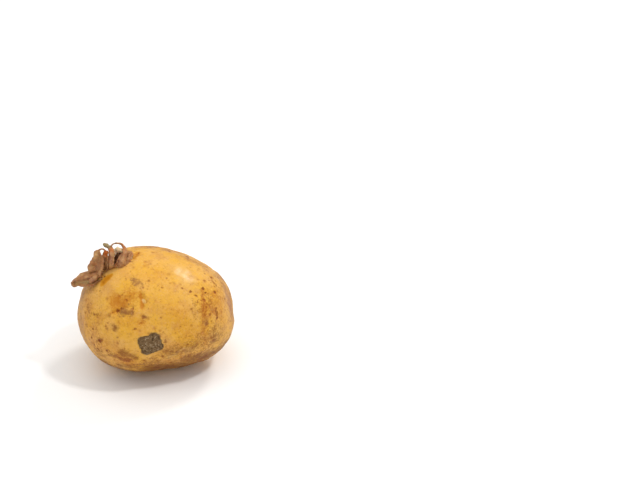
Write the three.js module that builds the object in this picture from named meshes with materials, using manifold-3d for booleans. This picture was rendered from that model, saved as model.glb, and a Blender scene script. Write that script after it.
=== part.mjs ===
// A yellow ware potato, fresh from the field: one egg-shaped tuber with shallow eyes, a flat spot
// that it rests on, and a torn strip of its own skin standing in tongues near its blunt end.
// Millimetres. +X runs along the tuber to its narrow end, +Y across it, +Z up.
// The origin is the middle of the flat spot.
import * as THREE from "three";
import { mergeVertices } from "three/addons/utils/BufferGeometryUtils.js";
import Module from "manifold-3d";

// Driving dimensions of the tuber.
const LENGTH = 78.4;
const DEPTH = 67;
const HEIGHT = 63;
const TAPER = 0.17; // how much thicker the blunt half is than the narrow half
const END_FULLNESS = 0.12; // how much squarer than an ellipse the two ends are
const REST_DEPTH = 2; // how far the underside is flattened where it lay in the ground
const REST_BLEND = 0.45; // half the height over which the flat spot runs out into the round
const MEAN_RADIUS = 34; // turns an angle about the centre into a distance along the skin
const BROW_ABOVE = 7; // how far over an eye its brow stands, in degrees
const BROW_SHARE = 0.4; // the brow's height as a share of the eye's depth
const SURFACE_DETAIL = 15; // divisions of each edge of the starting icosahedron

// The loose skin: one torn strip, pleated into tongues that all rise from the same tear.
const SKIN_THICKNESS = 0.9;
const TONGUE_DIVISIONS = 6; // along its length
const TONGUE_WIDTH_DIVISIONS = 3;
const ROOT_BURIED = 1.8; // how deep a tongue starts under the tuber's surface

// Each tongue stands on the tear at its root and sets off along its heading, with its face turned to
// its facing. It narrows to its tip, a share of its width, and curls towards its face by its curl, in
// degrees, or away from it where the curl is below 0.
const TONGUES = [
  {
    // Droops over the blunt end.
    root: [-27, -8, 53],
    heading: [-1, -0.15, 0.05],
    facing: [0, -0.6, 0.8],
    length: 15,
    width: 8.5,
    tip: 0.35,
    curl: -40,
  },
  {
    // The tall leaf in the middle.
    root: [-25.5, -8, 54.5],
    heading: [-0.1, 0, 1],
    facing: [-0.35, -1, 0],
    length: 15.5,
    width: 7.5,
    tip: 0.6,
    curl: -25,
  },
  {
    // A second leaf, turned nearly edge on.
    root: [-21.5, -7, 57],
    heading: [-0.1, 0, 1],
    facing: [-0.6, -0.8, 0],
    length: 14,
    width: 6.5,
    tip: 0.5,
    curl: -35,
  },
  {
    // A low pleat.
    root: [-17, -5, 59],
    heading: [0.2, 0, 0.9],
    facing: [-0.5, -0.9, 0.2],
    length: 11,
    width: 6.5,
    tip: 0.6,
    curl: -40,
  },
  {
    // Lies back down on the sound skin.
    root: [-14, -4, 60.2],
    heading: [0.8, 0.3, 0.5],
    facing: [-0.2, -0.6, 0.8],
    length: 10,
    width: 7,
    tip: 0.5,
    curl: -55,
  },
];

const SKIN_COLOUR = 0xc79a4b;

// Swellings (height above 0) and hollows (height below 0) that give the tuber its own outline.
// Each is seen from the centre at an azimuth (0 is +X, 90 is +Y) and an elevation, in degrees.
const SHAPE = [
  { azimuth: -12, elevation: -14, spread: 11, height: 1 }, // bulge under the narrow end
  { azimuth: -6, elevation: 9, spread: 10, height: -1.3 }, // slack above that bulge
  { azimuth: -30, elevation: -38, spread: 15, height: 0.4 }, // full underside of the narrow half
  { azimuth: -74, elevation: -38, spread: 12, height: -1.9 }, // fold low on the front
  { azimuth: -122, elevation: -54, spread: 20, height: -1.7 }, // undercut below the blunt end
  { azimuth: -55, elevation: 24, spread: 17, height: 0.9 }, // smooth brow of the front
  { azimuth: -38, elevation: 38, spread: 7, height: -0.5 }, // upper end of the hollow across the front
  { azimuth: -47, elevation: 14, spread: 9, height: -0.9 }, // lower end of that hollow
  { azimuth: 160, elevation: 30, spread: 17, height: -1.6 }, // slope behind the loose skin
  { azimuth: 23, elevation: 33, spread: 17, height: -1.4 }, // slope at the back of the narrow end
  { azimuth: 78, elevation: 4, spread: 22, height: -1.5 }, // flat stretch on the back
  { azimuth: 120, elevation: -22, spread: 18, height: 1 }, // low shoulder on the back
  { azimuth: 0, elevation: -64, spread: 14, height: 1.3 }, // heel under the narrow half
  { azimuth: 165, elevation: -62, spread: 16, height: -1.2 }, // rise of the underside to the blunt end
];

// Eyes: a hollow with a low brow above it, towards the blunt end's crown.
const EYES = [
  { azimuth: -113, elevation: 34, width: 12, depth: 1.2 }, // wide eye on the front
  { azimuth: -95.5, elevation: 39, width: 4.5, depth: 1.3 }, // its slit-like neighbour
  { azimuth: -94.5, elevation: 23, width: 5, depth: 0.5 },
  { azimuth: 148, elevation: -6, width: 6, depth: 1.3 },
  { azimuth: 96, elevation: 34, width: 6, depth: 1.4 },
  { azimuth: 62, elevation: -14, width: 5.5, depth: 1.2 },
  { azimuth: 20, elevation: 40, width: 5.5, depth: 1.2 },
  { azimuth: 4, elevation: -3, width: 4.5, depth: 1.3 }, // stem scar at the narrow end
];

function direction(azimuth, elevation) {
  const around = THREE.MathUtils.degToRad(azimuth);
  const up = THREE.MathUtils.degToRad(elevation);
  return new THREE.Vector3(Math.cos(up) * Math.cos(around), Math.cos(up) * Math.sin(around), Math.sin(up));
}

// How strongly something at one direction is felt at another, from 1 at its middle down to 0.
function nearness(from, to, spread) {
  const away = (from.angleTo(to) * MEAN_RADIUS) / spread;
  return Math.exp(-away * away);
}

// The skin's point straight out from the centre in the given direction, before the underside is
// flattened. The centre is also the origin here.
function skinPoint(outward) {
  const along = outward.x;
  const girth = 1 + END_FULLNESS * along * along - TAPER * along * (1 - along * along);
  const point = new THREE.Vector3(
    (LENGTH / 2) * along,
    (DEPTH / 2) * outward.y * girth,
    (HEIGHT / 2) * outward.z * girth,
  );
  for (const { azimuth, elevation, spread, height } of SHAPE) {
    point.addScaledVector(outward, height * nearness(direction(azimuth, elevation), outward, spread));
  }
  for (const { azimuth, elevation, width, depth } of EYES) {
    point.addScaledVector(outward, -depth * nearness(direction(azimuth, elevation), outward, width / 2));
    const brow = nearness(direction(azimuth, elevation + BROW_ABOVE), outward, width / 2);
    point.addScaledVector(outward, BROW_SHARE * depth * brow);
  }
  return point;
}

// Height above the ground, level over the flat spot and running out smoothly into the round.
function restingHeight(z) {
  const above = z + HEIGHT / 2 - REST_DEPTH;
  if (above <= -REST_BLEND) return 0;
  if (above >= REST_BLEND) return above;
  return (above + REST_BLEND) ** 2 / (4 * REST_BLEND);
}

function tuberGeometry() {
  const geometry = new THREE.IcosahedronGeometry(1, SURFACE_DETAIL);
  const position = geometry.getAttribute("position");
  for (let i = 0; i < position.count; i++) {
    const point = skinPoint(new THREE.Vector3().fromBufferAttribute(position, i).normalize());
    position.setXYZ(i, point.x, point.y, restingHeight(point.z));
  }
  return geometry;
}

const wasm = await Module();
wasm.setup();

function solidFrom(geometry) {
  geometry.deleteAttribute("normal");
  geometry.deleteAttribute("uv");
  const merged = mergeVertices(geometry, 1e-3);
  const vertProperties = merged.getAttribute("position").array;
  const triVerts = new Uint32Array(merged.index.array);
  return new wasm.Manifold(new wasm.Mesh({ numProp: 3, vertProperties, triVerts }));
}

function geometryFrom(solid) {
  const { vertProperties, triVerts } = solid.getMesh();
  const geometry = new THREE.BufferGeometry();
  geometry.setAttribute("position", new THREE.BufferAttribute(vertProperties, 3));
  geometry.setIndex(new THREE.BufferAttribute(triVerts, 1));
  geometry.computeVertexNormals();
  return geometry;
}

// A thin plate that tapers to its tip, bent round its own X axis and set on the tear.
function tongueGeometry({ root, heading, facing, length, width, tip, curl }) {
  const geometry = new THREE.BoxGeometry(1, 1, SKIN_THICKNESS, TONGUE_WIDTH_DIVISIONS, TONGUE_DIVISIONS, 1);
  const position = geometry.getAttribute("position");
  const wholeBend = THREE.MathUtils.degToRad(curl);
  const bendRadius = length / wholeBend;
  for (let i = 0; i < position.count; i++) {
    const along = position.getY(i) + 0.5;
    const sideways = width * position.getX(i) * (1 - (1 - tip) * along * along);
    const fromBendCentre = bendRadius - position.getZ(i);
    const bend = wholeBend * along;
    const reach = fromBendCentre * Math.sin(bend);
    const rise = bendRadius - fromBendCentre * Math.cos(bend);
    position.setXYZ(i, sideways, reach, rise);
  }
  const forward = new THREE.Vector3(...heading).normalize();
  const across = forward.clone().cross(new THREE.Vector3(...facing)).normalize();
  const outward = across.clone().cross(forward);
  const start = new THREE.Vector3(...root).addScaledVector(forward, -ROOT_BURIED);
  geometry.applyMatrix4(new THREE.Matrix4().makeBasis(across, forward, outward).setPosition(start));
  return geometry;
}

let grown = solidFrom(tuberGeometry());
for (const tongue of TONGUES) {
  grown = grown.add(solidFrom(tongueGeometry(tongue)));
}

const potato = new THREE.Mesh(
  geometryFrom(grown),
  new THREE.MeshStandardMaterial({ color: SKIN_COLOUR, roughness: 0.62, metalness: 0 }),
);
potato.name = "potato";

const part = new THREE.Group();
part.add(potato);

export default part;
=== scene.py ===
import math
import random

import bpy
import numpy as np
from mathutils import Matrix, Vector, noise
from mathutils.kdtree import KDTree


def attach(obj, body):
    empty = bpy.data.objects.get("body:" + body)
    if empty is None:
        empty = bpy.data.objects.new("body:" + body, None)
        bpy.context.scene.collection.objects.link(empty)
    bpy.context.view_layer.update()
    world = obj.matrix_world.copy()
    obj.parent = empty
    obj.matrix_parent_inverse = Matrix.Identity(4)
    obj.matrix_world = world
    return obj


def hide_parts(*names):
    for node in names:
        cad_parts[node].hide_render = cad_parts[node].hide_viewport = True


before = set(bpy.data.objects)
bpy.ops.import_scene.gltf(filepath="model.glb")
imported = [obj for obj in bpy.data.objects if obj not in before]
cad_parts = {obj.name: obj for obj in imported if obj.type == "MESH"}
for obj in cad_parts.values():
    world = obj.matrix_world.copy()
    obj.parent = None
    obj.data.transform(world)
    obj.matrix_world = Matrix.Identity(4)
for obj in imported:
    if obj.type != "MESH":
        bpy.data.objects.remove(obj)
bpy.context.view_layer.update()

mm = 0.001
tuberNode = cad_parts["potato"]


# small helpers for working on one object at a time

def deselectAll():
    active = bpy.context.view_layer.objects.active
    if active and active.mode != "OBJECT":
        bpy.ops.object.mode_set(mode="OBJECT")
    bpy.ops.object.select_all(action="DESELECT")


def makeActive(piece):
    deselectAll()
    piece.select_set(True)
    bpy.context.view_layer.objects.active = piece


def editAll(piece):
    makeActive(piece)
    bpy.ops.object.mode_set(mode="EDIT")
    bpy.ops.mesh.select_all(action="SELECT")


def leaveEdit():
    bpy.ops.object.mode_set(mode="OBJECT")


def applyModifier(piece, kind, **settings):
    makeActive(piece)
    modifier = piece.modifiers.new(kind.title(), kind)
    for name, value in settings.items():
        setattr(modifier, name, value)
    bpy.ops.object.modifier_apply(modifier=modifier.name)


def smooth(piece):
    makeActive(piece)
    bpy.ops.object.shade_smooth_by_angle(angle=math.radians(180))


def pointsOf(piece):
    flat = np.empty(len(piece.data.vertices) * 3)
    piece.data.vertices.foreach_get("co", flat)
    return flat.reshape(-1, 3)


# the camera stands in front of the potato and a little above it, aimed past its upper right
cameraSetup = {
    "elevation": 29,  # degrees above level
    "distance": 800 * mm,
    "lens": 90,
    "aimRight": 82 * mm,  # how far right of the tuber's middle it aims
    "aimUp": 34 * mm,
    "middle": 30.5 * mm,  # height of the tuber's middle
}


def addCamera(setup):
    tilt = math.radians(setup["elevation"])
    right = Vector((1, 0, 0))
    upward = Vector((0, math.sin(tilt), math.cos(tilt)))
    backward = Vector((0, -math.cos(tilt), math.sin(tilt)))
    aim = Vector((0, 0, setup["middle"])) + right * setup["aimRight"] + upward * setup["aimUp"]
    bpy.ops.object.camera_add(
        location=aim + backward * setup["distance"],
        rotation=(math.radians(90) - tilt, 0, 0),
    )
    camera = bpy.context.object
    camera.name = "camera"
    camera.data.lens = setup["lens"]
    camera.data.clip_start = 10 * mm
    bpy.context.scene.camera = camera


deselectAll()
addCamera(cameraSetup)
print("camera placed")


# the floor is a white sheet; the key lamp throws the shadow, the back lamp lights the crown and lays
# the shine on it, and the wide top lamp fills

studio = {
    "floorSize": 8,
    "floorDrop": 0.05 * mm,
    "floorColour": (0.93, 0.93, 0.928, 1),
    "floorRoughness": 0.9,
    "floorSpecular": 0.1,
    "skyStrength": 0.53,
    "skyColour": (1, 1, 1, 1),
    "lampColour": (1, 0.99, 0.975),
    "lampDistance": 1.3,
    "lamps": {
        "keyLamp": {"towards": (0.49, -0.18, 0.85), "size": 0.14, "power": 4.4},
        "backLamp": {"towards": (0.46, 0.51, 0.73), "size": 0.3, "power": 4.1},
        "topLamp": {"towards": (-0.2, -0.15, 0.97), "size": 2.2, "power": 11.2},
    },
}


def addFloor(setup):
    deselectAll()
    bpy.ops.mesh.primitive_plane_add(size=setup["floorSize"], location=(0, 0, -setup["floorDrop"]))
    floor = bpy.context.object
    floor.name = "floor"
    bpy.ops.object.transform_apply(location=True)
    paper = bpy.data.materials.new("floorPaper")
    paper.use_nodes = True
    surface = paper.node_tree.nodes["Principled BSDF"]
    surface.inputs["Base Color"].default_value = setup["floorColour"]
    surface.inputs["Roughness"].default_value = setup["floorRoughness"]
    surface.inputs["Specular IOR Level"].default_value = setup["floorSpecular"]
    floor.data.materials.append(paper)


def addLamps(setup):
    for name, settings in setup["lamps"].items():
        towards = Vector(settings["towards"]).normalized()
        bpy.ops.object.light_add(type="AREA", location=towards * setup["lampDistance"])
        lamp = bpy.context.object
        lamp.name = name
        lamp.rotation_euler = towards.to_track_quat("Z", "Y").to_euler()
        lamp.data.shape = "DISK"
        lamp.data.size = settings["size"]
        lamp.data.energy = settings["power"]
        lamp.data.color = setup["lampColour"]


def addSky(setup):
    sky = bpy.data.worlds.new("studioSky")
    sky.use_nodes = True
    background = sky.node_tree.nodes["Background"]
    background.inputs["Color"].default_value = setup["skyColour"]
    background.inputs["Strength"].default_value = setup["skyStrength"]
    bpy.context.scene.world = sky
    bpy.context.scene.view_settings.view_transform = "Standard"


addFloor(studio)
addLamps(studio)
addSky(studio)
print("floor and lamps set up")


# the tuber's form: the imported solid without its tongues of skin

tuberSetup = {
    "weld": 0.002 * mm,
    "tearAngle": 24,  # degrees; every tongue meets the tuber in an edge sharper than this
    "mend": 0.01 * mm,  # welds the edges left round the closed holes
    "rounding": 2,  # subdivision levels
}


def bareTuber(setup):
    form = bpy.data.objects.new("tuberForm", tuberNode.data.copy())
    bpy.context.collection.objects.link(form)
    editAll(form)
    bpy.ops.mesh.remove_doubles(threshold=setup["weld"])
    bpy.ops.mesh.select_all(action="DESELECT")
    bpy.ops.mesh.edges_select_sharp(sharpness=math.radians(setup["tearAngle"]))
    bpy.ops.mesh.edge_split(type="EDGE")
    bpy.ops.mesh.select_all(action="SELECT")
    bpy.ops.mesh.separate(type="LOOSE")
    leaveEdit()
    shells = sorted(bpy.context.selected_objects, key=lambda shell: len(shell.data.vertices))
    tuber = shells.pop()
    for shell in shells:
        bpy.data.objects.remove(shell)
    editAll(tuber)
    bpy.ops.mesh.remove_doubles(threshold=setup["mend"])
    bpy.ops.mesh.fill_holes(sides=0)
    bpy.ops.mesh.quads_convert_to_tris()
    bpy.ops.mesh.normals_make_consistent(inside=False)
    leaveEdit()
    applyModifier(tuber, "SUBSURF", levels=setup["rounding"], render_levels=setup["rounding"])
    return tuber


# the skin: a fine ball of quads drawn onto that form

ballSetup = {
    "cuts": 127,  # across each face of the starting cube
    "softening": 0.5,
    "softenings": 6,
}


def fineBall(form, setup):
    points = pointsOf(form)
    low, high = Vector(points.min(0)), Vector(points.max(0))
    deselectAll()
    bpy.ops.mesh.primitive_cube_add(size=2)
    ball = bpy.context.object
    ball.name = "potatoSkin"
    editAll(ball)
    bpy.ops.mesh.subdivide(number_cuts=setup["cuts"])
    leaveEdit()
    applyModifier(ball, "CAST", cast_type="SPHERE", factor=1, size=1)
    ball.scale = (high - low) / 2
    ball.location = (high + low) / 2
    makeActive(ball)
    bpy.ops.object.transform_apply(location=True, scale=True)
    applyModifier(ball, "SHRINKWRAP", target=form, wrap_method="NEAREST_SURFACEPOINT")
    applyModifier(ball, "SMOOTH", factor=setup["softening"], iterations=setup["softenings"])
    return ball


tuberForm = bareTuber(tuberSetup)
skin = fineBall(tuberForm, ballSetup)
bpy.data.objects.remove(tuberForm)
print("skin drawn over the tuber,", len(skin.data.polygons), "faces")


# marks are placed in millimetres: "at" on the skin, "to" where one is drawn out into a streak

def nearMark(points, at, reach, to=None):
    # 1 at the mark's middle or along its line, falling to 0 past its reach
    start = np.array(at) * mm
    if to is None:
        away = np.linalg.norm(points - start, axis=1)
    else:
        line = np.array(to) * mm - start
        share = np.clip((points - start) @ line / (line @ line), 0, 1)
        away = np.linalg.norm(points - start - share[:, None] * line, axis=1)
    return np.exp(-((away / (reach * mm)) ** 2))


def roughened(points, drifts):
    # places drawn about by noise, so that the marks laid on them lose their even outlines
    noise.seed_set(relief["driftSeed"])  # without it the noise differs from run to run
    moved = points.copy()
    for size, amount in drifts:
        for index, point in enumerate(points):
            moved[index] += np.array(noise.noise_vector(Vector(point) / size)) * amount
    return moved


def gather(points, marks):
    # the strongest of a family of marks at each point
    total = np.zeros(len(points))
    for mark in marks:
        strength = mark.get("strength", 1)
        near = nearMark(points, mark["at"], mark["reach"], mark.get("to"))
        total = np.maximum(total, strength * near)
    return total


def paintGroup(piece, name, weights):
    group = piece.vertex_groups.new(name=name)
    for index in np.nonzero(weights > 0.005)[0].tolist():
        group.add([index], float(weights[index]), "REPLACE")
    return name


def paintAttribute(piece, name, weights):
    attribute = piece.data.attributes.new(name, "FLOAT", "POINT")
    attribute.data.foreach_set("value", weights.astype(np.float32))


def cloudTexture(name, size, depth=2):
    texture = bpy.data.textures.new(name, "CLOUDS")
    texture.noise_scale = size
    texture.noise_depth = depth
    return texture


# relief of the whole skin

relief = {
    "lumps": {"size": 13 * mm, "height": 1.2 * mm},
    "ripples": {"size": 4.5 * mm, "height": 0.4 * mm},
    "wrinkles": {"size": 1.6 * mm, "height": 0.1 * mm},
    "restFade": (0.3 * mm, 3 * mm),  # heights between which the relief comes in
    "markHeights": {"hollow": -1.0 * mm, "rise": 0.9 * mm, "flesh": -0.35 * mm},  # at full strength
    "drifts": ((4.5 * mm, 1.2 * mm), (1.7 * mm, 0.8 * mm)),  # how far marks wander, at two sizes
    "driftSeed": 2,  # another whole number above 0 gives other outlines
}

eyeHollows = [
    {"at": (-16.0, -24.5, 49.5), "reach": 3.2, "strength": 0.55},  # wide eye
    {"at": (-18.0, -27.5, 45.0), "to": (-15.0, -27.5, 45.5), "reach": 0.8, "strength": 0.8},  # its crease
    {"at": (-15.0, -27.5, 45.5), "to": (-13.0, -26.8, 47.0), "reach": 0.8, "strength": 0.8},
    {"at": (-13.0, -26.8, 47.0), "to": (-7.5, -27.4, 47.8), "reach": 0.7, "strength": 0.45},
    {"at": (-10.0, -25.0, 50.5), "reach": 1.5, "strength": 0.6},  # ring round its bud
    {"at": (-3.5, -23.8, 53.2), "to": (-3.2, -25.0, 50.8), "reach": 1.1, "strength": 1.1},  # slit
    {"at": (-3.0, -26.2, 49.2), "to": (-3.0, -27.0, 47.8), "reach": 1.1, "strength": 1.1},
    {"at": (-2.0, -30.7, 42.8), "to": (-3.5, -31.3, 41.2), "reach": 1.4, "strength": 0.5},
    {"at": (-8.0, 0.0, 61.5), "to": (-9.5, -2.5, 61.3), "reach": 1.2, "strength": 0.8},
    {"at": (14.0, -27.0, 19.0), "reach": 1.0, "strength": 0.4},
]

eyeRises = [
    {"at": (-10.0, -25.0, 50.5), "reach": 0.7, "strength": 1.0},
    {"at": (-9.5, -26.2, 48.9), "reach": 0.55, "strength": 0.5},
    {"at": (-12.5, -28.0, 45.6), "to": (-9.0, -28.5, 46.2), "reach": 1.5, "strength": 1.0},  # scar
    {"at": (-18.5, -28.5, 43.6), "to": (-14.5, -28.8, 43.6), "reach": 1.2, "strength": 0.3},
    {"at": (-2.9, -25.1, 50.0), "reach": 0.75, "strength": 1.1},
    {"at": (-1.3, -24.3, 52.0), "to": (-1.0, -26.8, 48.3), "reach": 0.9, "strength": 0.5},
    {"at": (7.5, -29.5, 20.5), "to": (16.0, -29.0, 26.0), "reach": 1.5, "strength": 0.5},
    {"at": (16.0, -29.0, 26.0), "to": (21.0, -27.0, 26.5), "reach": 1.5, "strength": 0.4},
    {"at": (4.0, -30.0, 20.5), "to": (10.0, -29.6, 24.5), "reach": 0.9, "strength": 0.5},
    {"at": (10.0, -29.6, 24.5), "to": (15.0, -29.2, 23.5), "reach": 0.9, "strength": 0.5},
    {"at": (20.0, -26.8, 19.0), "to": (27.5, -23.5, 22.0), "reach": 1.0, "strength": 0.5},
]

# eyes on the sides that face away from the camera
farEyes = {
    "places": [
        (-25.4, 15.9, 26.6),
        (-2.9, 27.7, 49.5),
        (13.0, 26.4, 22.0),
        (25.5, 17.5, 43.5),
        (36.8, 11.0, 27.0),
    ],
    "halfWidth": 2.4,
    "bow": 0.6,  # how far the ends of the crease turn up
    "browAbove": 1.2,
    "bankBelow": 1.9,
    "budAbove": 0.9,
}


def farEyeMarks(points, normals, tree):
    # each eye is a crescent crease under a low brow, with a bud in it and a bank below
    hollows, rises, centres, creases, buds = [], [], [], [], []
    for place in farEyes["places"]:
        co, index, _ = tree.find(Vector(place) * mm)
        normal = Vector(normals[index])
        level = normal.cross(Vector((0, 0, 1))).normalized()
        upward = level.cross(normal)
        middle = co / mm
        left = middle - level * farEyes["halfWidth"] + upward * farEyes["bow"]
        right = middle + level * farEyes["halfWidth"] + upward * farEyes["bow"]
        brow = middle + upward * farEyes["browAbove"]
        budAndHighlight = middle + upward * farEyes["budAbove"]
        drop = upward * farEyes["bankBelow"]
        hollows.append({"at": tuple(left), "to": tuple(middle), "reach": 1.1, "strength": 1.1})
        hollows.append({"at": tuple(middle), "to": tuple(right), "reach": 1.1, "strength": 1.1})
        rises.append({"at": tuple(brow), "reach": 1.2, "strength": 0.5})
        rises.append({"at": tuple(left - drop), "to": tuple(right - drop), "reach": 1.3, "strength": 0.5})
        centres.append({"at": tuple(middle), "reach": 3.4, "strength": 1.1})
        creases.append({"at": tuple(left), "to": tuple(middle), "reach": 0.5, "strength": 0.7})
        creases.append({"at": tuple(middle), "to": tuple(right), "reach": 0.5, "strength": 0.6})
        buds.append({"at": tuple(budAndHighlight), "reach": 0.6, "strength": 0.9})
    return {"hollow": hollows, "rise": rises, "eyeTint": centres, "speck": creases, "budAndHighlight": buds}


def normalsOf(piece):
    flat = np.empty(len(piece.data.vertices) * 3, np.float32)
    piece.data.vertex_normals.foreach_get("vector", flat)
    return flat.reshape(-1, 3)


def treeOf(points):
    tree = KDTree(len(points))
    for index, point in enumerate(points):
        tree.insert(point, index)
    tree.balance()
    return tree


soilPatch = {
    "at": (0.4, -33.4, 30.6),
    "half": 5.5,  # half its width, in millimetres
    "turn": 13,  # degrees
    "height": 0.45 * mm,
    "grain": 1.1 * mm,
    "edge": (1.3, 0.7),  # where it starts and where it is whole, as shares of half its width
    "squareness": 4,  # 2 is round
    "frontOf": -15 * mm,  # it lies on this side of the tuber only
    "notch": {"at": (-1.6, -32.5, 36.4), "reach": 1.5, "strength": 0.6},
}


def soilWeights(points, setup):
    # a squarish crust with round corners, lying on the front of the tuber
    turn = math.radians(setup["turn"])
    away = (points - np.array(setup["at"]) * mm) / (setup["half"] * mm)
    across = away[:, 0] * math.cos(turn) + away[:, 2] * math.sin(turn)
    upward = -away[:, 0] * math.sin(turn) + away[:, 2] * math.cos(turn)
    power = setup["squareness"]
    rounded = (np.abs(across) ** power + np.abs(upward) ** power) ** (1 / power)
    start, whole = setup["edge"]
    front = points[:, 1] < setup["frontOf"]
    return np.clip((start - rounded) / (start - whole) - gather(points, [setup["notch"]]), 0, 1) * front


def shapeSkin(piece):
    points = pointsOf(piece)
    low, high = relief["restFade"]
    fade = np.clip((points[:, 2] - low) / (high - low), 0, 1)
    far = farEyeMarks(points, normalsOf(piece), treeOf(points))
    wandering = roughened(points, relief["drifts"])
    layers = {name: gather(wandering, marks) for name, marks in skinMarks.items()}
    layers["eyeTint"] = np.maximum(layers["eyeTint"], gather(wandering, far["eyeTint"]))
    layers["speck"] = gather((points + wandering) / 2, skinMarks["speck"] + far["speck"])
    layers["flesh"] = gather((3 * points + wandering) / 4, skinMarks["flesh"])
    layers["budAndHighlight"] = gather(points, skinMarks["budAndHighlight"] + far["budAndHighlight"])
    layers["soil"] = soilWeights((points + wandering) / 2, soilPatch)
    layers["hollow"] = gather((3 * points + wandering) / 4, eyeHollows + far["hollow"])
    layers["rise"] = gather(points, eyeRises + far["rise"])
    away = paintGroup(piece, "awayFromRest", fade)
    for name in ("lumps", "ripples", "wrinkles"):
        layer = relief[name]
        texture = cloudTexture(name, layer["size"])
        applyModifier(piece, "DISPLACE", texture=texture, strength=layer["height"], mid_level=0.5,
                      vertex_group=away)
    for name, height in relief["markHeights"].items():
        group = paintGroup(piece, name + "Group", layers[name])
        applyModifier(piece, "DISPLACE", strength=height, mid_level=0, vertex_group=group)
    group = paintGroup(piece, "soilGroup", layers["soil"])
    texture = cloudTexture("crust", soilPatch["grain"], 4)
    applyModifier(piece, "DISPLACE", texture=texture, strength=soilPatch["height"], mid_level=0,
                  vertex_group=group)
    piece.vertex_groups.clear()
    for name, weights in layers.items():
        paintAttribute(piece, name, weights)


# colour marks by family, with painted shade and painted highlights among them

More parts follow.
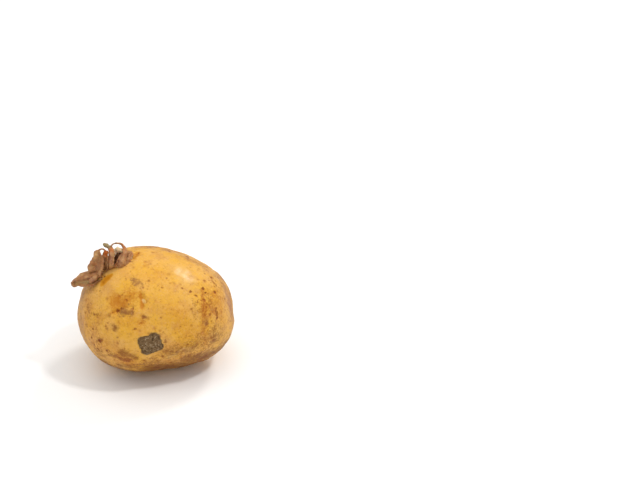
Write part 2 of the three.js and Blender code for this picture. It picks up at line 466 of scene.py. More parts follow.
skinMarks = {
    "eyeTint": [  # orange in and round the eyes
        {"at": (-16.0, -24.5, 49.5), "reach": 4.0, "strength": 1.1},
        {"at": (-13.0, -26.0, 49.0), "to": (-9.0, -23.5, 51.5), "reach": 4.4, "strength": 0.85},
        {"at": (-17.5, -27.5, 45.0), "to": (-13.5, -27.0, 46.7), "reach": 1.3, "strength": 0.9},
        {"at": (-3.8, -23.4, 53.4), "to": (-3.2, -25.0, 50.8), "reach": 1.2, "strength": 1.5},
        {"at": (-3.2, -26.0, 49.3), "to": (-3.0, -27.0, 48.0), "reach": 1.2, "strength": 1.6},
        {"at": (-3.6, -25.0, 51.0), "reach": 3.4, "strength": 0.5},
        {"at": (-2.0, -30.7, 42.8), "to": (-3.5, -31.3, 41.2), "reach": 1.6, "strength": 0.8},
        {"at": (-8.0, 0.0, 61.5), "to": (-9.5, -2.5, 61.3), "reach": 1.7, "strength": 1.1},
        {"at": (14.0, -27.0, 19.0), "reach": 1.4, "strength": 0.7},
        {"at": (-6.5, -22.0, 54.5), "to": (-9.5, -20.0, 55.0), "reach": 2.4, "strength": 0.4},
    ],
    "stain": [  # brown scuffs and scabs
        {"at": (-16.0, -31.5, 38.4), "reach": 2.0, "strength": 1.0},
        {"at": (-14.0, -33.0, 25.0), "to": (-12.0, -33.0, 24.6), "reach": 2.2, "strength": 1.2},
        {"at": (-10.0, -33.0, 24.0), "to": (-7.5, -33.0, 22.8), "reach": 1.8, "strength": 1.0},
        {"at": (-20.0, -30.3, 22.0), "to": (-10.0, -32.6, 21.6), "reach": 2.6, "strength": 0.7},
        {"at": (-25.0, -28.5, 29.5), "reach": 1.9, "strength": 1.1},
        {"at": (-26.5, -26.5, 22.5), "to": (-25.0, -27.4, 21.8), "reach": 0.9, "strength": 0.8},
        {"at": (-27.5, -23.5, 41.0), "to": (-24.0, -25.5, 43.0), "reach": 1.3, "strength": 0.5},
        {"at": (-31.0, -18.0, 43.5), "to": (-29.5, -20.0, 42.0), "reach": 1.8, "strength": 0.55},
        {"at": (-30.0, -21.0, 38.0), "reach": 1.6, "strength": 0.5},
        {"at": (28.3, -5.2, 50.2), "to": (29.5, -7.0, 49.0), "reach": 0.9, "strength": 0.85},
        {"at": (30.5, -6.0, 48.5), "to": (31.2, -7.5, 47.0), "reach": 0.7, "strength": 0.8},
        {"at": (32.0, 1.0, 47.0), "to": (33.0, -0.5, 45.5), "reach": 0.6, "strength": 0.8},
        {"at": (31.5, -16.3, 40.2), "to": (31.6, -17.8, 37.8), "reach": 0.8, "strength": 1.0},
        {"at": (20.0, 1.6, 55.1), "to": (21.8, 0.2, 54.6), "reach": 0.7, "strength": 0.7},
        {"at": (25.5, -24.2, 20.5), "to": (24.0, -24.0, 19.6), "reach": 1.1, "strength": 0.7},
        {"at": (8.0, -32.0, 31.2), "reach": 1.0, "strength": 1.1},
    ],
    "rust": [  # long orange-brown weals
        {"at": (24.8, -14.0, 49.0), "to": (25.3, -19.0, 45.0), "reach": 1.5, "strength": 0.8},
        {"at": (25.3, -19.5, 44.5), "to": (26.3, -22.6, 38.5), "reach": 2.7, "strength": 0.85},
        {"at": (26.3, -22.8, 37.5), "to": (25.0, -25.0, 32.5), "reach": 3.0, "strength": 0.7},
        {"at": (28.3, -5.2, 50.2), "to": (29.5, -7.0, 49.0), "reach": 1.5, "strength": 0.7},
        {"at": (-23.0, -29.0, 25.0), "reach": 5.0, "strength": 0.5},
        {"at": (-28.0, -24.5, 33.0), "to": (-24.0, -27.0, 42.0), "reach": 3.4, "strength": 0.5},
        {"at": (-10.0, -32.0, 20.0), "to": (-16.0, -31.5, 22.0), "reach": 3.0, "strength": 0.7},
        {"at": (10.0, -27.5, 46.5), "to": (17.0, -25.5, 44.0), "reach": 3.0, "strength": 0.4},
        {"at": (-16.0, -30.5, 40.5), "to": (-6.0, -31.5, 41.0), "reach": 2.4, "strength": 0.45},
    ],
    "bruise": [  # mauve and greyish smudges
        {"at": (-8.6, -18.0, 56.8), "to": (-6.4, -18.8, 56.2), "reach": 2.2, "strength": 0.9},
        {"at": (-5.0, -18.3, 56.4), "to": (-3.5, -20.8, 54.9), "reach": 1.2, "strength": 0.8},
        {"at": (-13.0, -28.2, 45.0), "to": (-8.8, -28.6, 46.0), "reach": 2.2, "strength": 1.05},
        {"at": (26.5, -23.0, 37.0), "reach": 2.0, "strength": 0.9},
        {"at": (21.0, -21.0, 47.0), "to": (22.0, -20.5, 46.0), "reach": 1.5, "strength": 0.6},
        {"at": (31.0, -21.0, 26.0), "to": (27.5, -23.3, 22.5), "reach": 1.3, "strength": 0.85},
        {"at": (11.0, -30.6, 25.2), "to": (14.0, -29.8, 24.8), "reach": 1.3, "strength": 0.65},
        {"at": (18.0, -28.0, 24.5), "reach": 1.1, "strength": 0.6},
        {"at": (-2.0, -30.3, 43.4), "to": (-1.0, -30.3, 43.2), "reach": 1.4, "strength": 1.1},
        {"at": (-12.0, -7.0, 60.6), "to": (-9.0, -4.5, 61.2), "reach": 1.4, "strength": 0.6},
    ],
    "speck": [  # single dark lenticels and pits
        {"at": (-18.0, -27.5, 45.0), "reach": 0.5}, {"at": (-15.2, -27.5, 45.5), "reach": 0.8},
        {"at": (-13.7, -27.0, 46.6), "reach": 0.6}, {"at": (-7.5, -28.0, 47.5), "reach": 0.6},
        {"at": (-11.3, -25.0, 50.9), "to": (-10.8, -25.9, 49.5), "reach": 0.4, "strength": 0.8},
        {"at": (-8.9, -25.0, 50.5), "reach": 0.4, "strength": 0.6},
        {"at": (-3.5, -31.5, 41.4), "reach": 0.55}, {"at": (-25.0, -28.5, 29.5), "reach": 0.9},
        {"at": (-29.0, -25.0, 29.0), "reach": 0.6}, {"at": (-28.0, -25.5, 25.0), "reach": 0.6},
        {"at": (-26.0, -27.0, 25.5), "reach": 0.5}, {"at": (-21.5, -30.0, 24.5), "reach": 0.6},
        {"at": (-28.5, -25.5, 34.0), "reach": 0.6}, {"at": (-6.5, -32.5, 38.5), "reach": 0.55},
        {"at": (6.0, -29.5, 43.0), "reach": 0.6, "strength": 0.8}, {"at": (25.0, -13.3, 49.6), "reach": 0.8},
        {"at": (26.5, -14.5, 48.0), "reach": 0.6}, {"at": (30.5, -11.5, 46.5), "reach": 0.8},
        {"at": (22.0, -18.0, 49.0), "reach": 0.8}, {"at": (19.5, -17.5, 50.5), "reach": 0.7},
        {"at": (15.5, -17.5, 52.5), "reach": 0.7, "strength": 0.7},
        {"at": (9.5, -17.0, 55.0), "reach": 0.8, "strength": 0.8}, {"at": (6.0, -19.5, 54.0), "reach": 0.55},
        {"at": (1.5, -22.5, 52.5), "reach": 0.6, "strength": 0.7}, {"at": (35.0, -8.0, 41.0), "reach": 0.6},
        {"at": (7.5, 8.0, 58.5), "reach": 0.8}, {"at": (16.0, 8.0, 55.6), "reach": 0.9},
        {"at": (-3.0, -21.5, 54.5), "reach": 0.6}, {"at": (-1.0, -21.5, 54.5), "reach": 0.6},
        {"at": (-11.5, 3.0, 61.0), "reach": 0.6}, {"at": (-23.0, -11.6, 55.4), "reach": 0.7},
        {"at": (31.5, -18.5, 36.3), "reach": 0.7}, {"at": (-7.2, 0.6, 61.5), "reach": 0.7, "strength": 0.6},
    ],
    "filmAndShade": [  # duller browner skin: a real film at the back, painted shade low down, at the left end and on the right side
        {"at": (31.0, -14.0, 42.0), "reach": 10.0, "strength": 1.0},
        {"at": (-31.0, -17.0, 42.0), "to": (-27.0, -23.0, 24.0), "reach": 8.0, "strength": 0.8},
        {"at": (-10.0, -30.0, 17.0), "to": (20.0, -24.0, 15.0), "reach": 7.0, "strength": 0.9},
        {"at": (26.0, -23.0, 24.0), "to": (30.0, -18.0, 36.0), "reach": 7.0, "strength": 0.6},
        {"at": (-14.0, -31.0, 22.0), "reach": 8.0, "strength": 0.7},
        {"at": (-26.0, -26.0, 29.0), "reach": 7.0, "strength": 0.9},
        {"at": (-22.0, 12.0, 50.0), "to": (8.0, 30.0, 40.0), "reach": 11.0, "strength": 0.7},
        {"at": (30.0, 15.0, 22.0), "reach": 10.0, "strength": 0.8},
    ],
    "dustAndRimShade": [  # darker greyish brown along the crown and at both ends, where the skin turns away: partly dust, partly painted shade
        {"at": (-6.0, 12.0, 59.5), "to": (12.0, 12.0, 56.5), "reach": 6.5, "strength": 1.2},
        {"at": (-36.5, -14.0, 36.0), "to": (-34.5, -17.5, 24.0), "reach": 4.5, "strength": 1.1},
        {"at": (12.0, 9.0, 57.0), "to": (27.0, 5.0, 51.0), "reach": 6.0, "strength": 0.95},
        {"at": (-38.0, -6.0, 42.0), "to": (-38.0, -8.0, 24.0), "reach": 8.0, "strength": 1.4},
        {"at": (35.0, 4.0, 45.0), "to": (39.0, -2.0, 30.0), "reach": 9.0, "strength": 1.5},
        {"at": (-38.0, 8.0, 34.0), "reach": 9.0, "strength": 0.7},
        {"at": (-10.0, 32.0, 26.0), "to": (16.0, 32.0, 30.0), "reach": 8.0, "strength": 0.6},
    ],
    "paintedShade": [  # painted shade: the dark band where the tuber turns under, and darker skin low down and on its right side
        {"at": (-16.0, -28.0, 14.0), "to": (2.0, -30.0, 17.0), "reach": 4.5, "strength": 0.8},
        {"at": (-24.0, -18.0, 9.0), "to": (0.0, -22.0, 4.0), "reach": 8.0, "strength": 1.35},
        {"at": (0.0, -25.0, 8.0), "to": (22.0, -17.0, 4.0), "reach": 9.0, "strength": 1.6},
        {"at": (20.0, -24.0, 14.0), "to": (36.0, -8.0, 14.0), "reach": 8.0, "strength": 1.2},
        {"at": (29.0, -20.0, 28.0), "reach": 7.0, "strength": 0.8},
        {"at": (8.0, -30.0, 24.0), "to": (22.0, -26.0, 26.0), "reach": 5.5, "strength": 0.75},
        {"at": (22.0, -21.0, 42.0), "to": (27.0, -18.0, 44.0), "reach": 5.0, "strength": 0.5},
        {"at": (-25.0, -24.0, 20.0), "reach": 5.5, "strength": 0.75},
        {"at": (-22.0, 24.0, 10.0), "to": (24.0, 20.0, 10.0), "reach": 9.0, "strength": 1.0},
        {"at": (-34.0, 0.0, 14.0), "reach": 9.0, "strength": 0.9},
    ],
    "ripe": [  # deeper golden ground
        {"at": (13.0, -26.0, 43.0), "to": (18.0, -27.0, 36.0), "reach": 7.0, "strength": 1.0},
        {"at": (19.0, -28.5, 31.0), "to": (5.0, -31.5, 25.0), "reach": 5.0, "strength": 0.9},
        {"at": (30.0, -14.0, 44.0), "to": (33.0, -16.0, 34.0), "reach": 4.5, "strength": 0.8},
        {"at": (-22.0, -29.0, 30.0), "to": (-12.0, -31.0, 19.0), "reach": 6.0, "strength": 0.9},
        {"at": (-4.0, -31.0, 38.0), "to": (-16.0, -27.0, 47.0), "reach": 6.0, "strength": 0.8},
        {"at": (-4.0, -16.0, 58.0), "to": (4.0, -14.0, 58.0), "reach": 5.0, "strength": 0.7},
        {"at": (-20.0, 22.0, 40.0), "to": (20.0, 26.0, 36.0), "reach": 8.0, "strength": 0.8},
    ],
    "shine": [  # smooth shoulder, less rough and coated, with a painted highlight in its colour
        {"at": (15.0, -8.5, 56.3), "to": (17.5, -12.0, 54.2), "reach": 3.6, "strength": 1.0},
    ],
    "flesh": [  # where the skin is rubbed off
        {"at": (-23.4, -14.4, 54.0), "to": (-21.0, -13.4, 55.8), "reach": 2.5, "strength": 1.0},
        {"at": (-21.0, -13.4, 55.8), "to": (-19.4, -12.8, 56.8), "reach": 1.7, "strength": 0.9},
    ],
    "budAndHighlight": [  # pale buds, and painted highlights on raised lips, knobs and the low ridge
        {"at": (-3.2, -25.1, 50.2), "to": (-2.0, -25.4, 49.9), "reach": 0.7, "strength": 1.5},
        {"at": (-1.4, -25.4, 49.4), "to": (-1.5, -26.6, 48.0), "reach": 0.6, "strength": 0.8},
        {"at": (-9.5, -26.2, 48.9), "reach": 0.5, "strength": 0.8},
        {"at": (-8.5, -29.0, 45.5), "reach": 0.45, "strength": 1.0},
        {"at": (8.0, -29.5, 21.0), "to": (16.0, -29.0, 26.0), "reach": 0.9, "strength": 0.65},
    ],
    "torn": [  # the pale lip of sound skin along the tear
        {"at": (-28.0, -11.0, 52.5), "to": (-22.0, -10.0, 57.0), "reach": 1.6, "strength": 0.9},
        {"at": (-22.0, -10.0, 57.0), "to": (-14.0, -10.0, 59.8), "reach": 1.6, "strength": 0.9},
        {"at": (-14.0, -8.0, 60.0), "to": (-11.0, -1.0, 61.4), "reach": 1.4, "strength": 0.6},
    ],
}

shapeSkin(skin)
smooth(skin)
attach(skin, "root")
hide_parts("potato")
print("eyes, lenticels and soil shaped")


# the torn skin: thin leaves laid along short paths that start on the tear, all in millimetres
# "path" runs from root to tip, each point with its width there
# "facing" is the side the leaf shows, at its root and at its tip
# "profile" is its height across, edge to edge, as shares of half its width

peel = {
    "thickness": 0.3 * mm,
    "across": 16,
    "along": 40,
    "crumple": {"size": 3.2 * mm, "height": 1.1 * mm},
    "pucker": {"size": 1.1 * mm, "height": 0.3 * mm},
    "fray": 0.07,  # how unevenly the edges are torn, as a share of the width
    "frayWaves": (13, 29),  # slow and quick waves of that tear
    "rib": 0.1,  # how high the ribs across a leaf stand, as a share of half its width
    "cockle": 0.2,  # how far the edges curl up and down, as a share of half its width
    "narrowest": 0.3,  # no leaf is drawn narrower than this many millimetres
}

leaves = {
    "droopingTongue": {
        "path": [(-25.0, -8.6, 55.4, 6.0), (-28.4, -10.8, 54.8, 7.6), (-31.2, -11.4, 54.4, 8.0),
                 (-34.4, -10.5, 53.0, 7.0), (-37.4, -8.5, 51.0, 5.0), (-39.6, -6.4, 49.0, 2.8),
                 (-40.4, -5.6, 48.1, 1.0)],
        "facing": [(-0.1, -0.85, 0.5), (-0.3, -0.85, 0.45)],
        "profile": [0.5, -0.1, -0.35, -0.2, 0.35, 0.15, -0.3, -0.8],
        "ribs": 9,
    },
    "underFold": {
        "path": [(-24.0, -9.0, 57.0, 3.0), (-27.0, -11.2, 55.6, 3.6), (-28.8, -12.4, 53.8, 3.2),
                 (-29.8, -12.8, 52.4, 1.6)],
        "facing": [(0.3, -0.8, 0.5), (0.2, -0.8, 0.5)],
        "profile": [-0.4, 0.25, 0.1, -0.3],
        "ribs": 3,
    },
    "tallLeaf": {
        "path": [(-26.5, -8.2, 52.6, 6.0), (-27.4, -10.0, 57.4, 7.8), (-26.4, -10.2, 61.4, 8.2),
                 (-25.8, -9.0, 64.4, 6.2), (-26.0, -7.4, 66.2, 4.2), (-25.6, -6.2, 67.3, 1.8)],
        "facing": [(-0.3, -0.9, 0.3), (-0.2, -0.9, 0.35)],
        "profile": [-0.35, 0.15, 0.2, -0.1, -0.25, -0.1, 0.3, 0.25],
        "ribs": 6,
    },
    "darkLeaf": {
        "tint": {"darkAndShade": 0.1},
        "path": [(-22.8, -7.6, 56.0, 4.0), (-22.2, -9.2, 60.6, 3.8), (-21.9, -8.8, 63.8, 3.4),
                 (-21.7, -7.6, 65.8, 3.0), (-21.5, -6.6, 67.2, 1.6)],
        "facing": [(-0.6, -0.8, 0.1), (-0.4, -0.9, 0.3)],
        "profile": [0.5, -0.1, -0.3, -0.1, 0.5],
        "ribs": 4,
    },
    "mossyNub": {
        "tint": {"moss": 0.9},
        "path": [(-19.6, -5.6, 66.0, 1.8), (-20.2, -5.3, 67.4, 1.5), (-21.0, -5.0, 68.5, 1.6),
                 (-22.0, -4.7, 69.1, 2.2), (-23.0, -4.4, 69.2, 2.0), (-23.5, -4.3, 69.1, 1.2)],
        "facing": [(0.0, -0.9, 0.4), (0.1, -0.9, 0.4)],
        "profile": [-0.5, 0.2, 0.4, 0.2, -0.5],
        "ribs": 2,
    },
    "greyLeaf": {
        "path": [(-20.6, -7.6, 56.6, 3.2), (-19.8, -9.2, 61.2, 3.4), (-19.3, -8.0, 64.4, 3.0),
                 (-19.3, -6.4, 66.8, 2.6), (-19.5, -5.0, 68.6, 1.1)],
        "facing": [(-0.1, -0.95, 0.2), (0.0, -0.9, 0.4)],
        "profile": [-0.5, 0.2, 0.35, 0.0, -0.4],
        "ribs": 4,
    },
    "cleftLeaf": {
        "tint": {"darkAndShade": 1.0},
        "path": [(-17.6, -6.6, 57.6, 4.0), (-16.9, -5.8, 60.6, 4.4), (-16.3, -4.6, 63.0, 3.8),
                 (-16.0, -3.8, 64.4, 2.2)],
        "facing": [(0.4, -0.85, 0.2), (0.2, -0.9, 0.4)],
        "profile": [0.5, -0.3, -0.3, 0.5],
        "ribs": 2,
    },
    "paleFilm": {
        "tint": {"cream": 1.0},
        "path": [(-16.6, -2.6, 60.6, 4.6), (-16.4, -2.6, 63.4, 5.4), (-16.0, -2.4, 65.2, 4.6),
                 (-15.6, -2.0, 66.2, 2.4)],
        "facing": [(0.0, -0.9, 0.4), (0.0, -0.9, 0.4)],
        "profile": [-0.3, 0.2, 0.1, -0.3],
        "ribs": 2,
    },
    "mauveLobe": {
        "path": [(-16.8, -8.4, 57.8, 3.6), (-15.7, -9.4, 60.0, 4.4), (-14.5, -9.2, 62.0, 4.8),
                 (-13.6, -7.8, 64.0, 3.8), (-13.3, -6.2, 65.4, 2.4), (-13.1, -5.0, 66.2, 1.2)],
        "facing": [(0.0, -0.9, 0.4), (0.15, -0.85, 0.5)],
        "profile": [0.35, -0.15, 0.15, 0.25, -0.05, -0.45],
        "ribs": 5,
    },
    "lyingPleat": {
        "path": [(-13.2, -8.6, 59.6, 3.4), (-12.4, -6.4, 61.4, 4.6), (-11.8, -3.2, 62.4, 4.8),
                 (-11.3, 0.0, 62.4, 3.8), (-11.0, 2.6, 61.6, 1.8)],
        "facing": [(0.0, -0.7, 0.7), (0.1, -0.3, 0.95)],
        "profile": [-0.5, 0.1, -0.1, 0.25, -0.1, -0.5],
        "ribs": 7,
    },
    "smallLoop": {
        "path": [(-26.2, -6.6, 66.4, 1.2), (-25.2, -5.8, 67.0, 0.8), (-23.9, -5.5, 67.4, 0.7),
                 (-22.8, -5.8, 67.2, 0.9), (-22.0, -6.8, 66.2, 1.5), (-21.7, -7.8, 64.6, 1.6)],
        "facing": [(-0.1, -0.9, 0.5), (-0.6, -0.8, 0.2)],
        "profile": [-0.2, 0.2, -0.2],
        "ribs": 0,
    },
    "largeLoop": {
        "path": [(-19.4, -5.6, 67.6, 1.4), (-19.4, -3.8, 68.2, 0.8), (-18.6, -2.2, 68.4, 0.6),
                 (-17.0, -0.9, 68.1, 0.8), (-15.2, -0.2, 67.3, 1.2), (-13.9, -0.6, 66.0, 1.8),
                 (-13.2, -2.2, 65.0, 2.4), (-13.2, -4.6, 63.8, 2.8)],
        "facing": [(-0.2, -0.6, 0.8), (0.3, -0.8, 0.5)],
        "profile": [-0.3, 0.3, -0.3],
        "ribs": 0,
    },
}

# colour marks on the torn skin, painted shade and painted highlights among them
peelMarks = {
    "mauve": [
        {"at": (-25.0, -10.0, 59.6), "reach": 2.8, "strength": 0.6},
        {"at": (-36.0, -9.8, 53.0), "to": (-30.0, -12.0, 54.6), "reach": 0.8, "strength": 1.0},
        {"at": (-28.5, -12.5, 54.0), "reach": 1.5, "strength": 0.8},
        {"at": (-19.8, -9.0, 61.5), "to": (-19.4, -8.0, 64.4), "reach": 1.4, "strength": 0.8},
        {"at": (-15.5, -9.0, 62.0), "to": (-14.5, -7.0, 65.0), "reach": 2.0, "strength": 0.6},
    ],
    # pale bands, partly the skin's own colour and partly painted highlight on the leaf rims and ribs
    "paleAndHighlight": [
        {"at": (-37.0, -8.5, 49.8), "to": (-31.5, -11.0, 52.2), "reach": 1.5, "strength": 1.0},
        {"at": (-23.0, -10.2, 61.0), "to": (-23.2, -9.4, 63.8), "reach": 0.9, "strength": 0.9},
        {"at": (-34.0, -9.6, 55.6), "to": (-30.0, -10.4, 58.0), "reach": 1.2, "strength": 0.5},
        {"at": (-27.5, -9.0, 63.5), "to": (-26.2, -7.6, 66.0), "reach": 1.6, "strength": 0.5},
    ],
    "cream": [],  # this and the next come only as the tint of a whole leaf
    "moss": [],
    "amber": [
        {"at": (-21.8, -7.4, 65.6), "to": (-21.4, -6.6, 67.2), "reach": 1.5, "strength": 1.0},
        {"at": (-19.4, -6.2, 67.0), "reach": 1.6, "strength": 0.8},
        {"at": (-14.2, -0.4, 66.6), "to": (-13.3, -2.2, 65.2), "reach": 1.2, "strength": 0.5},
        {"at": (-10.8, -4.0, 62.2), "to": (-10.6, 1.0, 62.0), "reach": 0.9, "strength": 0.4},
    ],
    # painted shade in the clefts and hollows of the torn skin; the same dark also tints the veins and torn
    # rims
    "darkAndShade": [
        {"at": (-23.1, -9.4, 58.0), "to": (-22.9, -8.8, 63.0), "reach": 0.8, "strength": 0.6},
        {"at": (-27.0, -9.8, 58.5), "to": (-26.5, -10.0, 62.0), "reach": 0.5, "strength": 0.5},
        {"at": (-19.5, -5.0, 68.6), "to": (-18.0, -1.5, 68.6), "reach": 1.4, "strength": 0.6},
    ],
}


def alongPath(stations, share):
    # Catmull-Rom curve through the stations, at a share of its length
    rows = np.array(stations, float)
    rows = np.concatenate([2 * rows[:1] - rows[1:2], rows, 2 * rows[-1:] - rows[-2:-1]])
    step = min(max(share, 0), 1) * (len(stations) - 1)
    first = min(int(step), len(stations) - 2)
    t = step - first
    a, b, c, d = rows[first:first + 4]
    square = (2 * a - 5 * b + 4 * c - d) * t ** 2
    cube = (3 * b - a - 3 * c + d) * t ** 3
    return 0.5 * (2 * b + (c - a) * t + square + cube)


def leafPoint(leaf, side, share, waves):
    here = alongPath(leaf["path"], share)
    ahead = alongPath(leaf["path"], share + 0.02) - alongPath(leaf["path"], share - 0.02)
    forward = Vector(ahead[:3]).normalized()
    across = forward.cross(Vector(alongPath(leaf["facing"], share))).normalized()
    outward = across.cross(forward)
    edge = math.copysign(1, side)
    slow, quick = peel["frayWaves"]
    uneven = math.sin(share * slow + waves[0] + edge) + 0.6 * math.sin(share * quick + waves[1] - 2 * edge)
    half = max(here[3], peel["narrowest"]) / 2 * (1 + peel["fray"] * uneven * abs(side))
    height = alongPath(leaf["profile"], (side + 1) / 2)
    height += peel["rib"] * math.sin(6.28 * leaf["ribs"] * share + 1.3 * side) * (0.4 + 0.6 * abs(side))
    height += peel["cockle"] * side * side * math.sin(share * 8 + waves[2] + edge)
    return (Vector(here[:3]) + across * side * half + outward * height * half) * mm


def layLeaf(name, leaf, seed):
    chance = random.Random(seed)
    waves = [chance.uniform(0, 6.28) for _ in range(3)]
    deselectAll()
    bpy.ops.mesh.primitive_grid_add(x_subdivisions=peel["across"], y_subdivisions=peel["along"], size=1)
    piece = bpy.context.object
    piece.name = name
    sides = []
    for vertex in piece.data.vertices:
        side, share = vertex.co.x * 2, vertex.co.y + 0.5
        sides.append(max(abs(side), share ** 6))
        vertex.co = leafPoint(leaf, side, share, waves)
    paintAttribute(piece, "rim", np.array(sides))
    for step in ("crumple", "pucker"):
        texture = cloudTexture(name + step, peel[step]["size"])
        applyModifier(piece, "DISPLACE", texture=texture, strength=peel[step]["height"], mid_level=0.5)
    applyModifier(piece, "SOLIDIFY", thickness=peel["thickness"], offset=0)
    applyModifier(piece, "SUBSURF", levels=1, render_levels=1)
    editAll(piece)
    bpy.ops.mesh.normals_make_consistent(inside=False)
    leaveEdit()
    for family, marks in peelMarks.items():
        marked = gather(pointsOf(piece), marks)
        paintAttribute(piece, family, marked + leaf.get("tint", {}).get(family, 0))
    smooth(piece)
    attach(piece, "root")
    return piece


peelPieces = [layLeaf(name, leaf, seed) for seed, (name, leaf) in enumerate(leaves.items())]
print("torn skin laid:", len(peelPieces), "leaves")


# materials

class Number:
    # a value or colour socket; sums and products with it add Math nodes
    def __init__(self, paint, socket):
        self.paint = paint
        self.socket = socket

    def math(self, operation, first, second):
        return self.paint.add("ShaderNodeMath", {"operation": operation}, {0: first, 1: second})

    def __add__(self, other):
        return self.math("ADD", self, other)

    def __radd__(self, other):
        return self.math("ADD", other, self)

    def __sub__(self, other):
        return self.math("SUBTRACT", self, other)

    def __rsub__(self, other):
        return self.math("SUBTRACT", other, self)

    def __mul__(self, other):
        return self.math("MULTIPLY", self, other)

    def __rmul__(self, other):
        return self.math("MULTIPLY", other, self)

    def beside(self, output):
        # another output of the same node
        return Number(self.paint, self.socket.node.outputs[output])


class Paint:
    def __init__(self, name):
        self.material = bpy.data.materials.new(name)
        self.material.use_nodes = True
        self.tree = self.material.node_tree
        self.surface = self.tree.nodes["Principled BSDF"]
        self.place = self.add("ShaderNodeTexCoord", output="Object")

    def add(self, kind, settings=None, sockets=None, output=0):
        node = self.tree.nodes.new(kind)
        for name, value in (settings or {}).items():
            setattr(node, name, value)
        for name, value in (sockets or {}).items():
            self.feed(node.inputs[name], value)
        return Number(self, node.outputs[output])

    def feed(self, target, value):
        if isinstance(value, Number):
            self.tree.links.new(value.socket, target)
        else:
            target.default_value = value

    def finish(self, sockets):
        for name, value in sockets.items():
            self.feed(self.surface.inputs[name], value)
        return self.material

    def vector(self, operation, first, second):
        return self.add("ShaderNodeVectorMath", {"operation": operation}, {0: first, 1: second})

    def noise(self, size, detail=3, roughness=0.55):
        return self.add("ShaderNodeTexNoise", {}, {"Vector": self.place, "Scale": 1 / size,
                                                   "Detail": detail, "Roughness": roughness})

    def wobbled(self, size, amount, shift=0):
        # places drawn about by noise, so that what is laid on them loses its roundness
        drift = self.vector("SUBTRACT", self.noise(size, 2).beside("Color"), (0.5, 0.5, 0.5))
        drift = self.vector("MULTIPLY", drift, (amount,) * 3)
        return self.vector("ADD", self.vector("ADD", self.place, (shift,) * 3), drift)

    def specks(self, place, spacing, smallest, largest):
        # spots of mixed sizes, each with its own strength
        away = self.add("ShaderNodeTexVoronoi", {"feature": "F1"}, {"Vector": place, "Scale": 1 / spacing})
        chance = self.add("ShaderNodeSeparateColor", {}, {0: away.beside("Color")})
        size = chance * chance * ((largest - smallest) / spacing) + smallest / spacing
        return self.between(away, size, size * 0.45) * (chance.beside("Green") * 0.7 + 0.3)

    def painted(self, name):
        return self.add("ShaderNodeAttribute", {"attribute_name": name}, output="Fac")

    def between(self, value, low, high):
        return self.add("ShaderNodeMapRange", {"interpolation_type": "SMOOTHSTEP"},
                        {"Value": value, "From Min": low, "From Max": high})

    def mix(self, share, first, second):
        return self.add("ShaderNodeMix", {"data_type": "RGBA"}, {0: share, 6: first, 7: second}, output=2)

    def bumped(self, heights):
        # heights are in millimetres
        return self.add("ShaderNodeBump", {}, {"Strength": 1, "Distance": 1 * mm, "Height": heights},
                        output="Normal")


def tone(red, green, blue):
    # a colour named by its 0 to 255 screen values
    shares = [value / 255 for value in (red, green, blue)]
    return (*[((share + 0.055) / 1.055) ** 2.4 if share > 0.04 else share / 12.92 for share in shares], 1)


skinTones = {
    "gold": tone(221, 165, 54),
    "straw": tone(221, 168, 80),
    "filmAndShade": tone(198, 141, 78),
    "russet": tone(170, 90, 14),
    "ripe": tone(208, 143, 36),
    "paintedHighlight": tone(216, 172, 84),
    "scurf": tone(228, 194, 152),
    "dustAndRimShade": tone(150, 96, 54),
    # the colour of the painted shade under the tuber and on its right
    "paintedShade": tone(114, 62, 14),
    "orange": tone(185, 112, 17),
    "rust": tone(158, 76, 14),
    "stain": tone(110, 48, 8),
    "speck": tone(106, 46, 6),
    "bruise": tone(139, 88, 46),
    "soil": tone(112, 88, 62),
    "darkSoilAndShade": tone(42, 32, 25),
    "soilPale": tone(173, 156, 129),
    "flesh": tone(188, 118, 11),
    "lip": tone(198, 154, 88),
    "budAndHighlight": tone(228, 190, 124),
}

skinPattern = {
    "broad": 19 * mm,  # sizes of the patterns in the ground colour
    "crowd": 13 * mm,
    "cloud": 7 * mm,
    "patch": 5 * mm,
    "blotch": 3.4 * mm,
    "ragged": 2.2 * mm,  # tears the edges of every mark
    "grain": 1.2 * mm,
    "grit": 1.1 * mm,
    "fleck": 0.9 * mm,
    "scurf": 0.8 * mm,
    "dimples": 1.8 * mm,
    "pores": 0.6 * mm,
    "smallSpecks": {"spacing": 2.9 * mm, "smallest": 0.32 * mm, "largest": 1.0 * mm},
    "smallHalos": {"spacing": 2.9 * mm, "smallest": 0.6 * mm, "largest": 1.8 * mm},  # round the same spots
    "smallDrift": {"size": 1.2 * mm, "amount": 0.9 * mm},
    "largeSpecks": {"spacing": 6.5 * mm, "smallest": 0.5 * mm, "largest": 1.7 * mm},
    "largeDrift": {"size": 2 * mm, "amount": 1.8 * mm, "shift": 0.11},
    "roughness": 0.52,
    "shineCoat": 0.55,
    "surface": {  # what is the same all over
        "Subsurface Weight": 0.03,
        "Subsurface Radius": (1, 0.45, 0.15),
        "Subsurface Scale": 1.2 * mm,
        "Specular IOR Level": 0.17,
        "Coat Roughness": 0.3,
    },
}


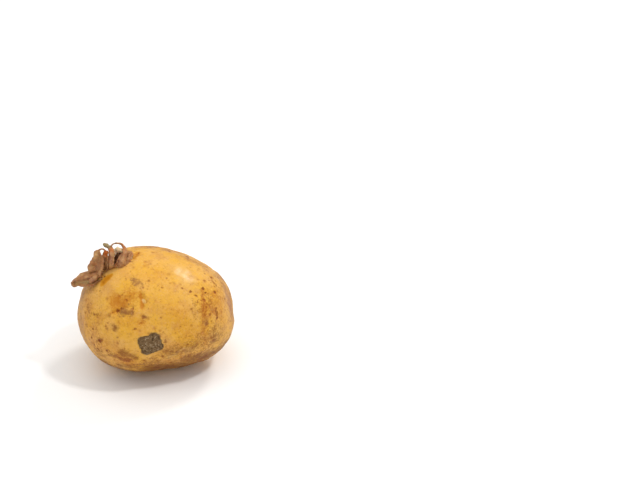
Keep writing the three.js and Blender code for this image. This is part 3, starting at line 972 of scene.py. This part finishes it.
def paintSkin(tones, setup):
    paint = Paint("potatoSkin")
    broad = paint.between(paint.noise(setup["broad"], 3), 0.4, 0.62)
    colour = paint.mix(broad, tones["gold"], tones["straw"])
    # clouds of the film's own duller colour over the whole skin
    cloud = paint.between(paint.noise(setup["cloud"], 6, 0.62), 0.46, 0.68)
    colour = paint.mix(cloud * 0.5, colour, tones["filmAndShade"])
    ragged = paint.noise(setup["ragged"], 6, 0.7) - 0.5
    fleck = paint.noise(setup["fleck"], 4, 0.65) - 0.5

    def mask(name, low, high, edge=1.0):
        return paint.between(paint.painted(name) + ragged * edge + fleck * edge, low, high)

    # mottling, stronger where the film and its painted shade lie
    filmAndShade = mask("filmAndShade", 0.2, 1.1, 1.6)
    crowd = paint.between(paint.noise(setup["crowd"], 3), 0.42, 0.64) * 0.5 + filmAndShade * 0.5
    blotch = paint.between(paint.noise(setup["blotch"], 6, 0.7), 0.52, 0.64)
    grain = paint.between(paint.noise(setup["grain"], 5, 0.7), 0.54, 0.62)
    scurf = paint.between(paint.noise(setup["scurf"], 5, 0.75), 0.5, 0.66)
    colour = paint.mix(mask("ripe", 0.1, 0.9, 1.2) * 0.4, colour, tones["ripe"])
    # the film marks darken the skin: real film at the back, painted shade low down and on the right
    colour = paint.mix(filmAndShade * 0.35, colour, tones["russet"])
    colour = paint.mix(blotch * (crowd * 0.5 + 0.08), colour, tones["russet"])
    colour = paint.mix(grain * (crowd * 0.3 + 0.1), colour, tones["russet"])
    patchy = paint.between(paint.noise(setup["patch"], 5, 0.6), 0.36, 0.6) * 0.6 + 0.4
    # dust and painted shade darken the skin along the crown and at both ends
    colour = paint.mix(mask("dustAndRimShade", 0.0, 1.3, 1.6) * patchy * 0.75, colour, tones["dustAndRimShade"])
    # painted shade darkens the underside and the lower right side
    paintedShade = mask("paintedShade", 0.05, 1.3, 1.5)
    colour = paint.mix(paintedShade * (patchy * 0.35 + 0.6), colour, tones["paintedShade"])
    colour = paint.mix(grain * filmAndShade * 0.2, colour, tones["stain"])
    colour = paint.mix(scurf * (0.2 - paintedShade * 0.17), colour, tones["scurf"])

    colour = paint.mix(mask("eyeTint", 0.1, 1.1, 1.3) * 0.85, colour, tones["orange"])
    colour = paint.mix(mask("rust", 0.1, 1.1, 0.8) * 0.72, colour, tones["rust"])
    colour = paint.mix(mask("torn", 0.3, 0.8, 0.5) * 0.6, colour, tones["lip"])
    colour = paint.mix(mask("bruise", 0.2, 1.0, 1.2) * (patchy * 0.5 + 0.4), colour, tones["bruise"])
    colour = paint.mix(mask("stain", 0.1, 0.9, 0.9) * (patchy * 0.4 + 0.4), colour, tones["stain"])

    loose = paint.wobbled(**setup["smallDrift"])
    shifted = paint.wobbled(**setup["largeDrift"])
    small = paint.specks(loose, **setup["smallSpecks"])
    halo = paint.specks(loose, **setup["smallHalos"])
    large = paint.specks(shifted, **setup["largeSpecks"])
    single = paint.between(paint.painted("speck") + fleck * 0.4, 0.25, 0.65)
    aura = paint.between(paint.painted("speck") + fleck * 0.6, 0.05, 0.5)
    colour = paint.mix(halo * (crowd * 0.6 + 0.1), colour, tones["rust"])
    colour = paint.mix(aura * 0.45, colour, tones["rust"])
    colour = paint.mix(large * (crowd * 0.5 + 0.25), colour, tones["stain"])
    colour = paint.mix(small * (crowd * 0.8 + 0.2), colour, tones["speck"])
    colour = paint.mix(single * 0.7, colour, tones["speck"])
    bare = paint.painted("flesh") + ragged * 0.6
    wet = paint.mix(paint.between(bare, 0.5, 1.0), tones["ripe"], tones["flesh"])
    flesh = paint.between(bare, 0.42, 0.56)
    colour = paint.mix(flesh, colour, wet)
    shine = paint.painted("shine")
    # painted highlight: the skin under the shine is painted paler and creamier
    colour = paint.mix(shine * 0.45, colour, tones["paintedHighlight"])
    # pale buds and painted highlights on the raised spots
    colour = paint.mix(paint.between(paint.painted("budAndHighlight"), 0.3, 0.9) * 0.8, colour, tones["budAndHighlight"])

    soil = paint.between(paint.painted("soil") + ragged * 0.6, 0.36, 0.6)
    grit = paint.noise(setup["grit"], 5, 0.8)
    dirt = paint.mix(paint.between(grit, 0.4, 0.5), tones["darkSoilAndShade"], tones["soil"])
    dirt = paint.mix(paint.between(grit, 0.54, 0.64), dirt, tones["soilPale"])
    # painted shade: the crust's outer edge is darkened towards the dark soil colour
    edge = paint.between(paint.painted("soil"), 0.95, 0.5)
    dirt = paint.mix(edge * 0.4, dirt, tones["darkSoilAndShade"])
    colour = paint.mix(soil * 0.94, colour, dirt)

    rough = setup["roughness"] - shine * 0.23 + soil * 0.4 + small * 0.1
    heights = (paint.noise(setup["dimples"], 4, 0.6) * 0.16 + paint.noise(setup["pores"], 4, 0.7) * 0.12
               - small * 0.15 - single * 0.2 + large * 0.1 + grit * soil * 0.5)
    return paint.finish({"Base Color": colour, "Roughness": rough, "Normal": paint.bumped(heights),
                         "Coat Weight": shine * setup["shineCoat"], **setup["surface"]})


peelTones = {
    "tan": tone(187, 139, 91),
    "brown": tone(156, 103, 61),
    "mauve": tone(156, 107, 82),
    "paleAndHighlight": tone(202, 166, 110),
    "cream": tone(240, 214, 170),
    "moss": tone(149, 133, 95),
    "amber": tone(194, 97, 23),
    "darkAndShade": tone(78, 34, 11),
}

peelPattern = {
    "broad": 4 * mm,
    "ragged": 1.6 * mm,
    "veins": 0.7 * mm,
    "chaff": 0.8 * mm,
    "dimples": 0.8 * mm,
    "surface": {
        "Roughness": 0.6,
        "Subsurface Weight": 0.2,
        "Subsurface Radius": (1, 0.35, 0.1),
        "Subsurface Scale": 0.6 * mm,
        "Specular IOR Level": 0.3,
    },
}


def paintPeel(tones, setup):
    paint = Paint("tornSkin")
    broad = paint.between(paint.noise(setup["broad"], 4), 0.35, 0.65)
    colour = paint.mix(broad, tones["brown"], tones["tan"])
    ragged = paint.noise(setup["ragged"], 5, 0.65) - 0.5
    for name in peelMarks:
        share = paint.between(paint.painted(name) + ragged * 0.7, 0.2, 0.9)
        colour = paint.mix(share * 0.9, colour, tones[name])
    veins = paint.between(paint.noise(setup["veins"], 5, 0.75), 0.52, 0.66)
    colour = paint.mix(veins * 0.35, colour, tones["darkAndShade"])
    chaff = paint.between(paint.noise(setup["chaff"], 5, 0.75), 0.48, 0.34)
    colour = paint.mix(chaff * 0.4, colour, tones["paleAndHighlight"])
    rim = paint.between(paint.painted("rim") + ragged * 0.15, 0.86, 1.0)
    colour = paint.mix(rim * 0.35, colour, tones["darkAndShade"])
    heights = paint.noise(setup["dimples"], 4, 0.65) * 0.35
    return paint.finish({"Base Color": colour, "Normal": paint.bumped(heights), **setup["surface"]})


skin.data.materials.clear()
skin.data.materials.append(paintSkin(skinTones, skinPattern))
peelMaterial = paintPeel(peelTones, peelPattern)
for piece in peelPieces:
    piece.data.materials.clear()
    piece.data.materials.append(peelMaterial)
print("materials painted")
